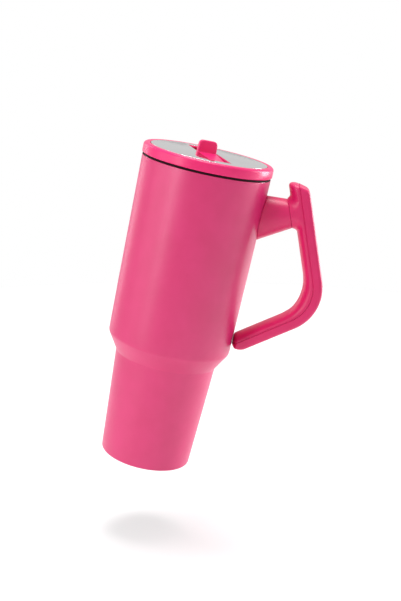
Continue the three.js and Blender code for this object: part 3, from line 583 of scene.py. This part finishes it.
def make_body():
    inner = wall_corners(OUTER_WALL, BODY_HEIGHT)[::-1]
    outer_wall = revolve("outer_wall_shell", [
        (FOOT_OPENING, PAD_PROUD, SHEET_EDGE),
        (FOOT_RADIUS, PAD_PROUD, FOOT_ROUND),
        *wall_corners(0, BODY_HEIGHT)[:2],
        (RIM_RADIUS, BODY_HEIGHT, LIP_EDGE),
        (inner[0][0], BODY_HEIGHT, SHEET_EDGE),
        *inner[1:],
        (FOOT_RADIUS - OUTER_WALL, PAD_PROUD + OUTER_WALL, FOOT_ROUND - OUTER_WALL),
        (FOOT_OPENING, PAD_PROUD + OUTER_WALL, SHEET_EDGE),
    ], sides=256)
    clad(outer_wall, "tumbler", "outer_wall", "powder_coat")

    neck = BODY_HEIGHT - LIP_FLARE
    lip = RIM_RADIUS - OUTER_WALL - GAP
    inset = LINER_OFFSET + LINER_WALL
    floor_radius = wall_radius(LINER_FLOOR)
    above = wall_corners(LINER_OFFSET, neck)
    within = wall_corners(inset, neck)[::-1]
    liner = revolve("liner_shell", [
        (0, LINER_FLOOR),
        (floor_radius - LINER_OFFSET, LINER_FLOOR, FLOOR_ROUND),
        *above[:2],
        (*above[2], LIP_BEND),
        (lip, BODY_HEIGHT - LIP_LAND, LIP_LAND_BEND),
        (lip, BODY_HEIGHT, LIP_EDGE),
        (lip - LINER_WALL, BODY_HEIGHT, LIP_EDGE),
        (*within[0][:2], LIP_BEND),
        *within[1:],
        (floor_radius - inset, LINER_FLOOR + LINER_WALL, FLOOR_ROUND - LINER_WALL),
        (0, LINER_FLOOR + LINER_WALL),
    ], sides=192)
    clad(liner, "tumbler", "inner_liner", "liner_steel")

    plate_bottom = PAD_PROUD + OUTER_WALL + GAP
    plate_radius = FOOT_RADIUS - OUTER_WALL - FOOT_ROUND
    plate = revolve("base_disc", [
        (PORT_RADIUS, plate_bottom, PORT_EDGE),
        (plate_radius, plate_bottom, PLATE_EDGE),
        (plate_radius, plate_bottom + BASE_PLATE, PLATE_EDGE),
        (PORT_RADIUS, plate_bottom + BASE_PLATE, PORT_EDGE),
    ], sides=128)
    clad(plate, "tumbler", "base_plate", "liner_steel")

    # The pad's underside has shallow rings pressed into it.
    pad_radius = FOOT_OPENING - GAP
    pad_top = plate_bottom - GAP
    under = [(0, 0)]
    for ring in range(PAD_RINGS):
        start = pad_radius * (FIRST_RING + RING_SPACING * ring)
        end = start + PRESS_WIDTH
        under += [
            (start, 0, PRESS_EDGE),
            (start + PRESS_SLOPE, PRESS_DEPTH, PRESS_EDGE),
            (end - PRESS_SLOPE, PRESS_DEPTH, PRESS_EDGE),
            (end, 0, PRESS_EDGE),
        ]
    pad = revolve("foot_pad", [
        *under,
        (pad_radius, 0, PAD_EDGE),
        (pad_radius, pad_top, PAD_TOP_EDGE),
        (0, pad_top),
    ], sides=160)
    clad(pad, "tumbler", "base_pad", "black_rubber")


# ---------------------------------------------------------------- swivel and handle
OUT = SWIVEL.to_3x3() @ Vector((0, 0, 1))
DOWN = SWIVEL.to_3x3() @ Vector((1, 0, 0))
BEND_ANGLE = math.radians(90 + SWIVEL_LEAN - ARM_SLOPE)
BEND_START = GRIP - BEND_RADIUS * math.tan(BEND_ANGLE / 2)
BEND_END = BEND_START + BEND_RADIUS * BEND_ANGLE


def swivel_to_world(x, z):
    """World X and Z, in millimetres, of places in the swivel's frame."""
    return (
        SWIVEL.translation.x + x * DOWN.x + z * OUT.x,
        SWIVEL.translation.z + x * DOWN.z + z * OUT.z,
    )


def tip_start():
    """Distance along the bar at which the arm's rounded tip starts."""
    slope = math.radians(ARM_SLOPE)
    corner_x, corner_z = swivel_to_world(GRIP, BAR_CENTRE)
    run = 0
    for _ in range(4):
        run = (corner_x - wall_radius(corner_z - run * math.sin(slope)) - TIP_STANDOFF) / math.cos(slope)
    return BEND_END + run - BEND_RADIUS * math.tan(BEND_ANGLE / 2)


TIP_START = tip_start()


def bar_place(x, z):
    """Distance along the bar, and offset from its centre line towards the body."""
    ahead = x - BEND_START
    inward = z - (BAR_CENTRE - BEND_RADIUS)
    angle = np.arctan2(ahead, inward)
    along = np.where(ahead < 0, x, BEND_START + BEND_RADIUS * angle)
    offset = np.where(ahead < 0, BAR_CENTRE - z, BEND_RADIUS - np.hypot(ahead, inward))
    past_x = ahead - BEND_RADIUS * math.sin(BEND_ANGLE)
    past_z = z - (BAR_CENTRE - BEND_RADIUS * (1 - math.cos(BEND_ANGLE)))
    straight = (ahead >= 0) & (angle > BEND_ANGLE)
    c, s = math.cos(BEND_ANGLE), math.sin(BEND_ANGLE)
    along = np.where(straight, BEND_END + past_x * c - past_z * s, along)
    offset = np.where(straight, -past_x * s - past_z * c, offset)
    return along, offset


def bar_ends(x, y, z):
    """Fields that trim the bar: its slanted top, its tip rounded from below and the nose facing the body."""
    along, offset = bar_place(x, z)
    tilt = math.radians(CAP_TILT)
    top = -(math.cos(tilt) * (x + POST) - math.sin(tilt) * (z - BAR_CENTRE))
    under = np.hypot(np.maximum(along - TIP_START, 0), offset - (TIP_ROUND - OUTER_FACE)) - TIP_ROUND
    world_x, _ = swivel_to_world(x, z)
    _, tip_height = swivel_to_world(*TIP_POINT)
    nose_centre = wall_radius(tip_height) + NOSE_GAP + NOSE_ROUND
    nose = np.hypot(np.minimum(world_x - nose_centre, 0), y) - NOSE_ROUND
    return along, offset, top, under, nose


def bar_point(along):
    """Place on the bar's centre line, past its bend, in the swivel's frame."""
    straight = along - BEND_END
    return (
        BEND_START + BEND_RADIUS * math.sin(BEND_ANGLE) + straight * math.cos(BEND_ANGLE),
        BAR_CENTRE - BEND_RADIUS * (1 - math.cos(BEND_ANGLE)) - straight * math.sin(BEND_ANGLE),
    )


TIP_POINT = bar_point(TIP_START)


def ellipse(y, depth, half_width, height):
    """Field of an ellipse across the bar."""
    near = np.hypot(y / half_width, depth / height)
    steep = np.hypot(y / half_width**2, depth / height**2)
    return near * (near - 1) / np.maximum(steep, 1e-9)


def bar_hollow(x, y, z):
    """Field of the room inside the two halves."""
    along, offset = bar_place(x, z)
    half = BAR_DEPTH / 2 - BAR_WALL - CROWN_STEP
    crown = ellipse(y, np.maximum(offset - CREASE, 0), half, BAR_THICKNESS / 2 - CREASE - BAR_WALL)
    walls = np.maximum(np.abs(y) - half, -BAR_THICKNESS / 2 + BAR_WALL - offset)
    section = np.maximum(crown, walls)
    ends = np.maximum(-POST + TOP_WALL - along, along - TIP_START + BAR_WALL)
    return np.maximum(section, ends)


def outer_half(x, y, z):
    """Field of the flat-sided half that faces away from the body."""
    _, offset, top, under, nose = bar_ends(x, y, z)
    solid = round_max(np.abs(y) - BAR_DEPTH / 2, under, BAR_CORNER)
    solid = round_max(solid, top, OUTER_TOP_EDGE)
    solid = round_max(solid, nose, NOSE_EDGE)
    solid = round_max(solid, offset - (CREASE - SEAM / 2), SEAM_EDGE)
    axis = np.hypot(x, y)
    room = np.maximum(axis - HUB_RADIUS - GAP, z - (BAR_CENTRE + BAR_THICKNESS / 2 - BAR_WALL))
    hole = np.maximum(axis - PLUG_RADIUS - GAP, BAR_CENTRE - z)
    return np.maximum(np.maximum(np.maximum(solid, -bar_hollow(x, y, z)), -room), -hole)


def smooth_step(value, start, end):
    """Rises smoothly from 0 at `start` to 1 at `end`."""
    share = np.clip((value - start) / (end - start), 0, 1)
    return share * share * (3 - 2 * share)


def inner_half(x, y, z):
    """Field of the crowned half that faces the body, with the neck and the hub."""
    along, offset, top, under, nose = bar_ends(x, y, z)
    grown = smooth_step(-along, LEAN_START, LEAN_FULL)
    height = BAR_THICKNESS / 2 - CREASE
    from_middle = along - (BEND_START + BEND_END) / 2
    filled = np.maximum(1 - (from_middle / BEND_REACH) ** 2, 0) ** 1.5
    grip = 1 - smooth_step(along, BEND_START, BEND_END)
    swelling = GRIP_SWELL * grip + POST_FLARE * grown + BEND_FILL * filled
    depth = (offset - CREASE) / (1 + swelling / height)
    half = BAR_DEPTH / 2 - CROWN_STEP
    crown = ellipse(y, np.maximum(depth, 0), half, height)
    crown = round_max(crown, top, INNER_TOP_EDGE)
    crown = round_max(crown, under, UNDER_EDGE)
    crown = round_max(crown, nose, NOSE_EDGE)
    axis = np.hypot(x, y)
    neck = round_max(axis - BOSS_RADIUS, SWIVEL_GAP - NECK_PROUD - z, NECK_EDGE)
    neck = np.maximum(neck, z - BAR_CENTRE)
    solid = round_min(crown, neck, NECK_FLARE)
    solid = round_max(solid, np.abs(y) - half, FLAT_EDGE)
    hollow = np.maximum(bar_hollow(x, y, z), BOSS_RADIUS - axis)
    solid = np.maximum(solid, -hollow)
    solid = round_max(solid, CREASE + SEAM / 2 - offset, SEAM_EDGE)
    hub_top = BAR_CENTRE + BAR_THICKNESS / 2 - BAR_WALL - GAP
    hub = np.maximum(axis - HUB_RADIUS, np.maximum(SWIVEL_GAP + HUB_BACK - z, z - hub_top))
    solid = np.minimum(solid, hub)
    bore = np.maximum(axis - BUSH_RADIUS - GAP, z - HUB_SEAT - BORE_SPARE)
    recess = np.maximum(axis - BOLT_HEAD_RADIUS - GAP, HUB_SEAT - z)
    return np.maximum(np.maximum(solid, -bore), -recess)


def boss(x, y, z):
    """Field of the flared boss, hollowed for the stud, the bolt and the washer."""
    cone = ellipse(y, x - BOSS_RISE * z, BOSS_RADIUS - BOSS_WIDEN * z, BOSS_RADIUS - BOSS_FLARE * z)
    solid = round_max(cone, z - BOSS_FACE - BOSS_PROUD, BOSS_EDGE)
    pocket = np.maximum(np.hypot(x, y) - BOSS_RADIUS + POCKET_WALL, -z)
    world_x, world_z = swivel_to_world(x, z)
    body = wall_radius(world_z) + BOSS_SEAT - np.hypot(world_x, y)
    solid = np.maximum(solid, body)
    stud = np.maximum(np.hypot(x, y) - STUD_RADIUS - GAP, z + BOSS_FLOOR)
    bolt = np.hypot(x, y) - BOLT_RADIUS - GAP
    return np.maximum(np.maximum(np.maximum(solid, -stud), -bolt), -pocket)


def make_handle():
    half = BAR_DEPTH / 2 + BOX_SPARE
    far, lowest = bar_point(TIP_START + TIP_ROOM)
    low = (-POST - TOP_ROOM, -half, lowest - LOW_ROOM)
    high = (far + FAR_ROOM, half, BAR_CENTRE + BAR_THICKNESS / 2 + BOX_SPARE)
    outer = from_field("handle_outer", outer_half, low, high, BAR_CELL, SWIVEL)
    clad(outer, "handle", "handle_frame", "pink_plastic")
    inner = from_field("handle_inner", inner_half, low, high, BAR_CELL, SWIVEL)
    clad(inner, "handle", "handle_cover", "pink_plastic")
    cap_bottom = BAR_CENTRE + BAR_THICKNESS / 2 - BAR_WALL
    cap_top = BAR_CENTRE + OUTER_FACE
    cap = revolve("pivot_cap_disc", [
        (0, cap_bottom),
        (PLUG_RADIUS, cap_bottom),
        (PLUG_RADIUS, cap_top, PLUG_EDGE),
        (PLUG_RADIUS * DISH_RIM, cap_top, DISH_EDGE),
        (PLUG_RADIUS * DISH_FLOOR, cap_top - DISH_DEPTH, DISH_EDGE),
        (0, cap_top - DISH_DEPTH),
    ], sides=96, place=SWIVEL)
    clad(cap, "handle", "pivot_cap", "pink_plastic")

    base = BOSS_RADIUS + BOSS_FLARE * BOSS_REACH * BOSS_SPREAD
    low = (-base - BOSS_ROOM, -base, -BOSS_REACH * BOSS_DEPTH)
    joint = from_field("boss_shell", boss, low, (base, base, BOX_SPARE), BOSS_CELL, SWIVEL)
    clad(joint, "tumbler", "handle_boss", "pink_plastic")
    hole = BOLT_RADIUS + GAP
    edge = BOSS_RADIUS - POCKET_WALL - GAP
    washer = revolve("swivel_washer", [
        (hole, GAP, WASHER_BORE_EDGE),
        (edge, GAP, WASHER_EDGE),
        (edge, SWIVEL_GAP - GAP, WASHER_EDGE),
        (hole, SWIVEL_GAP - GAP, WASHER_BORE_EDGE),
    ], sides=96, place=SWIVEL)
    clad(washer, "tumbler", "friction_washer", "dark_nylon")


# ---------------------------------------------------------------- lid


def lid_profile():
    groove_top = RING_BOTTOM - SEAL_BELOW
    groove = SKIRT_RADIUS - SEAL_GROOVE
    bottom = RING_BOTTOM - SKIRT_DEPTH
    inside = SKIRT_RADIUS - SKIRT_WALL
    return [
        (0, PLATE_TOP),
        (INLAY_RADIUS + GAP, PLATE_TOP, SEAT_EDGE),
        (INLAY_RADIUS + GAP, LID_TOP, INLAY_EDGE),
        (LID_RADIUS, LID_TOP, RING_ROUND),
        (LID_RADIUS, RING_BOTTOM, LID_EDGE),
        (SKIRT_RADIUS, RING_BOTTOM, SKIRT_TOP_EDGE),
        (SKIRT_RADIUS, groove_top, GROOVE_EDGE),
        (groove, groove_top, GROOVE_EDGE),
        (groove, groove_top - SEAL_HEIGHT, GROOVE_EDGE),
        (SKIRT_RADIUS, groove_top - SEAL_HEIGHT, GROOVE_EDGE),
        (SKIRT_RADIUS, bottom, LID_EDGE),
        (inside, bottom, LID_EDGE),
        (inside, PLATE_TOP - LID_PLATE, LID_FILLET),
        (0, PLATE_TOP - LID_PLATE),
    ]


def make_lid_shell():
    shell = revolve("lid_ring", lid_profile(), sides=240, place=LID)
    side = SLOT_HALF + CHANNEL_WALL
    tank_bottom = CHANNEL_FLOOR_TOP - CHANNEL_FLOOR
    tank_top = PLATE_TOP - TANK_SUNK
    back = CHANNEL_BACK - CHANNEL_WALL
    tank = block(back, SLOT_FRONT + CHANNEL_WALL, -side, side, tank_bottom, tank_top, LID)
    within = SKIRT_RADIUS - SEAL_GROOVE / 2
    low, high = tank_bottom - CUT_SPARE, tank_top + CUT_SPARE
    keep = revolve("cutter", [(0, low), (within, low), (within, high), (0, high)], sides=120, place=LID)
    combine(tank, keep, "INTERSECT")
    combine(shell, tank, "UNION")
    channel = block(CHANNEL_BACK, SLOT_FRONT, -SLOT_HALF, SLOT_HALF, CHANNEL_FLOOR_TOP, LID_TOP, LID)
    rail = SLOT_HALF + RAIL_DEPTH
    rail_top = LID_TOP - RAIL_BELOW
    rails = block(CHANNEL_BACK, SLOT_FRONT, -rail, rail, rail_top - RAIL_HEIGHT, rail_top, LID)
    combine(channel, rails, "UNION")
    hole = rounded(rectangle(SIP_FRONT - SIP_LENGTH, SIP_FRONT, -SIP_HALF, SIP_HALF, SIP_CORNER))
    sip = prism("cutter", hole, low, CHANNEL_FLOOR_TOP + CUT_SPARE, LID)
    combine(channel, sip, "UNION")
    combine(shell, channel, "DIFFERENCE")
    clad(shell, "lid", "lid_shell", "lid_plastic")


def make_inlay():
    """The steel disc with its slot, as loops joined round both edges."""
    corners = rectangle(SLOT_BACK, SLOT_FRONT, -SLOT_HALF, SLOT_HALF, SLOT_CORNER)
    slot = np.array(split_long(rounded(corners), SLOT_STEP, True), float)
    angles = np.unwrap(np.arctan2(slot[:, 1], slot[:, 0]))
    bottom = LID_TOP - INLAY_THICKNESS
    loops = []

    def circle(radius, height):
        loops.append(np.stack([radius * np.cos(angles), radius * np.sin(angles), 0 * angles + height], 1))

    def opening(outset, height):
        least = [SLOT_BACK + SLOT_CORNER, -SLOT_HALF + SLOT_CORNER]
        most = [SLOT_FRONT - SLOT_CORNER, SLOT_HALF - SLOT_CORNER]
        push = slot - np.clip(slot, least, most)
        push /= np.maximum(np.linalg.norm(push, axis=1, keepdims=True), 1e-9)
        loops.append(np.column_stack([slot + outset * push, 0 * angles + height]))

    turns = [math.pi / 2 * i / BEVEL_STEPS for i in range(BEVEL_STEPS + 1)]
    circle(INLAY_RADIUS, bottom)
    for turn in turns:
        inset = INLAY_BEVEL * (1 - math.cos(turn))
        circle(INLAY_RADIUS - inset, LID_TOP - INLAY_BEVEL * (1 - math.sin(turn)))
    for turn in turns:
        drop = INLAY_BEVEL * (1 - math.cos(turn))
        opening(INLAY_BEVEL * (1 - math.sin(turn)), LID_TOP - drop)
    opening(0, bottom)
    count = len(angles)
    faces = []
    for i in range(len(loops)):
        j = (i + 1) % len(loops)
        for k in range(count):
            n = (k + 1) % count
            faces.append((i * count + k, i * count + n, j * count + n, j * count + k))
    inlay = outwards(add_mesh("inlay_disc", np.vstack(loops), faces, LID, crease=30))
    clad(inlay, "lid", "lid_inlay", "inlay_steel")


def make_seals():
    inside = LINER_INSIDE + GAP
    outside = RIM_RADIUS - GASKET_INSET
    gasket = revolve("rim_ring", [
        (inside, BODY_HEIGHT + GAP, GASKET_INNER_EDGE),
        (outside, BODY_HEIGHT + GAP, GASKET_EDGE),
        (outside, RING_BOTTOM - GAP, GASKET_EDGE),
        (inside, RING_BOTTOM - GAP, GASKET_INNER_EDGE),
    ], sides=240)
    clad(gasket, "lid", "rim_gasket", "black_rubber")
    inside = SKIRT_RADIUS - SEAL_GROOVE + GAP
    outside = SKIRT_RADIUS + GAP
    rib = LINER_INSIDE - GAP
    top = RING_BOTTOM - SEAL_BELOW - GAP
    bottom = top - SEAL_HEIGHT + 2 * GAP
    quarter = (top - bottom) / 4
    seal = revolve("seal_ring", [
        (inside, bottom, SEAL_EDGE),
        (outside, bottom, SEAL_EDGE),
        (rib, bottom + quarter, SEAL_RIB_EDGE),
        (outside, bottom + 2 * quarter, SEAL_VALLEY),
        (rib, bottom + 3 * quarter, SEAL_RIB_EDGE),
        (outside, top, SEAL_EDGE),
        (inside, top, SEAL_EDGE),
    ], sides=240)
    clad(seal, "lid", "plug_seal", "clear_silicone")


def slider_top(x):
    """Height of the bar's top: highest round the tab, and falling away to both ends."""
    land = TAB_FRONT - TAB_THICKNESS - TAB_LAND_BACK, TAB_FRONT + TAB_LAND_FRONT
    places = SLIDER_BACK, SLOT_BACK + SLIDER_TRAVEL, *land, SLIDER_FRONT
    sunk = BACK_END_SUNK, BACK_SUNK, TAB_ROOT_SUNK, TAB_ROOT_SUNK, FRONT_END_SUNK
    return np.interp(x, places, [LID_TOP - drop for drop in sunk])


def slider(x, y, z):
    """Field of the sliding bar with its rails and tab."""
    ends = np.maximum(SLIDER_BACK - x, x - SLIDER_FRONT)
    bar = round_max(z - slider_top(x), np.abs(y) - (SLOT_HALF - GAP), BAR_SIDE_EDGE)
    bar = round_max(bar, ends, BAR_END_EDGE)
    bar = round_max(bar, SLIDER_BOTTOM - z, BAR_FOOT_EDGE)
    rail_top = LID_TOP - RAIL_BELOW - GAP
    rail_bottom = rail_top - RAIL_HEIGHT + 2 * GAP
    rails = np.maximum(np.abs(y) - (SLOT_HALF + RAIL_DEPTH - GAP), np.maximum(rail_bottom - z, z - rail_top))
    rails = np.maximum(rails, ends)
    root = LID_TOP - TAB_ROOT_SUNK
    side = np.abs(y) - (TAB_HALF - TAB_TAPER * np.clip((z - root) / TAB_HEIGHT, 0, 1))
    tab = round_max(side, z - root - TAB_HEIGHT, TAB_CORNER)
    middle = TAB_FRONT - TAB_THICKNESS / 2
    tab = round_max(tab, np.abs(x - middle) - TAB_THICKNESS / 2, TAB_EDGE)
    tab = np.maximum(tab, root - TAB_BURIED - z)
    return np.minimum(round_min(bar, tab, TAB_FILLET), rails)


def make_slider():
    reach = SLOT_HALF + RAIL_DEPTH
    low = (SLIDER_BACK, -reach, SLIDER_BOTTOM)
    high = (SLIDER_FRONT, reach, LID_TOP + TAB_HEIGHT)
    bar = from_field("slider_body", slider, low, high, SLIDER_CELL, LID)
    clad(bar, "slider", "slider_bar", "lid_plastic")

    reach = SIP_MARGIN - 2 * GAP
    side = SLOT_HALF - SEAL_SIDE_INSET
    back, front = SIP_FRONT - SIP_LENGTH - reach, SIP_FRONT + reach
    bottom = CHANNEL_FLOOR_TOP + GAP
    low, high = (back, -side, bottom), (front, side, bottom + SLIDER_SEAL)

    def pad(x, y, z):
        past_side = np.maximum(np.abs(y) - side + SEAL_CORNER, 0)
        past_end = np.maximum(np.abs(x - (back + front) / 2) - (front - back) / 2 + SEAL_CORNER, 0)
        across = np.hypot(past_side, past_end) - SEAL_CORNER
        height = np.abs(z - bottom - SLIDER_SEAL / 2) - SLIDER_SEAL / 2
        return round_max(across, height, SLIDER_SEAL_EDGE)

    seal = from_field("slider_pad", pad, low, high, SLIDER_CELL, LID)
    clad(seal, "slider", "slider_seal", "clear_silicone")


make_body()
make_handle()
make_lid_shell()
make_inlay()
make_seals()
make_slider()

# Pieces that keep their CAD shape take the finish of their record slot.
for subpart in frame["record"]["subparts"]:
    node = frame["nodes"].get(subpart["node"])
    if node is not None and not node.hide_render:
        node.data.materials.clear()
        node.data.materials.append(LOOKS[subpart["material_slot"]])

# ---------------------------------------------------------------- studio
FLOOR_DROP = 0.064  # below the centre of the foot, at right angles to the floor
FLOOR_RADIUS, FLOOR_SIDES = 0.9, 96
WORLD_SEEN, WORLD_CAST = 1.0, 0.64
AIM = (0, 0, 0.14)


def make_floor():
    """A round pale floor, level as the camera sees it, with plain backdrop round it."""
    up = (-image_down * math.cos(ELEVATION) - forward * math.sin(ELEVATION)).normalized()
    right = image_right.normalized()
    deep = up.cross(right).normalized()
    points = [(0, 0, 0)]
    for i in range(FLOOR_SIDES):
        angle = TAU * i / FLOOR_SIDES
        points.append((FLOOR_RADIUS * math.cos(angle), FLOOR_RADIUS * math.sin(angle), 0))
    faces = [(0, 1 + i, 1 + (i + 1) % FLOOR_SIDES) for i in range(FLOOR_SIDES)]
    mesh = bpy.data.meshes.new("floor")
    mesh.from_pydata(points, [], faces)
    floor = bpy.data.objects.new("floor", mesh)
    floor.matrix_world = facing(right, deep, up, up * -FLOOR_DROP)
    bpy.context.scene.collection.objects.link(floor)
    look = Look("floor_white", Roughness=0.9, Specular_IOR_Level=0.1)
    look.colour(look.noise(6, 2), (0.89, 0.89, 0.89, 1), (0.91, 0.91, 0.91, 1))
    mesh.materials.append(look.material)


def add_softbox(name, at, width, height, power):
    """A soft light turned to the middle of the tumbler and unseen by the camera."""
    light = bpy.data.lights.new(name, "AREA")
    light.shape = "RECTANGLE"
    light.size = width
    light.size_y = height
    light.energy = power
    lamp = bpy.data.objects.new(name, light)
    lamp.location = at
    lamp.rotation_mode = "QUATERNION"
    lamp.rotation_quaternion = (Vector(AIM) - Vector(at)).to_track_quat("-Z", "Y")
    lamp.visible_camera = False
    bpy.context.scene.collection.objects.link(lamp)


make_floor()
add_softbox("key_left", (-1.02, -0.93, 0.4), 0.2, 1.3, 6.4)
add_softbox("rim_left", (-0.95, 0.95, 0.3), 0.3, 1.2, 2.5)
add_softbox("side_left", (-1.4, -0.35, 0.35), 0.8, 1.3, 4)
add_softbox("rim_right", (1.1, 0.6, 0.3), 0.4, 1.2, 21)
add_softbox("top", (-0.17, 0.12, 1.3), 0.65, 0.65, 10.5)

world = bpy.data.worlds.new("studio")
world.use_nodes = True
nodes, links = world.node_tree.nodes, world.node_tree.links
nodes.clear()
backgrounds = []
for strength in (WORLD_CAST, WORLD_SEEN):
    background = nodes.new("ShaderNodeBackground")
    background.inputs["Color"].default_value = (1, 1, 1, 1)
    background.inputs["Strength"].default_value = strength
    backgrounds.append(background.outputs["Background"])
path = nodes.new("ShaderNodeLightPath")
mix = nodes.new("ShaderNodeMixShader")
out = nodes.new("ShaderNodeOutputWorld")
links.new(path.outputs["Is Camera Ray"], mix.inputs["Fac"])
links.new(backgrounds[0], mix.inputs[1])
links.new(backgrounds[1], mix.inputs[2])
links.new(mix.outputs["Shader"], out.inputs["Surface"])
bpy.context.scene.world = world
bpy.context.scene.view_settings.view_transform = "Standard"
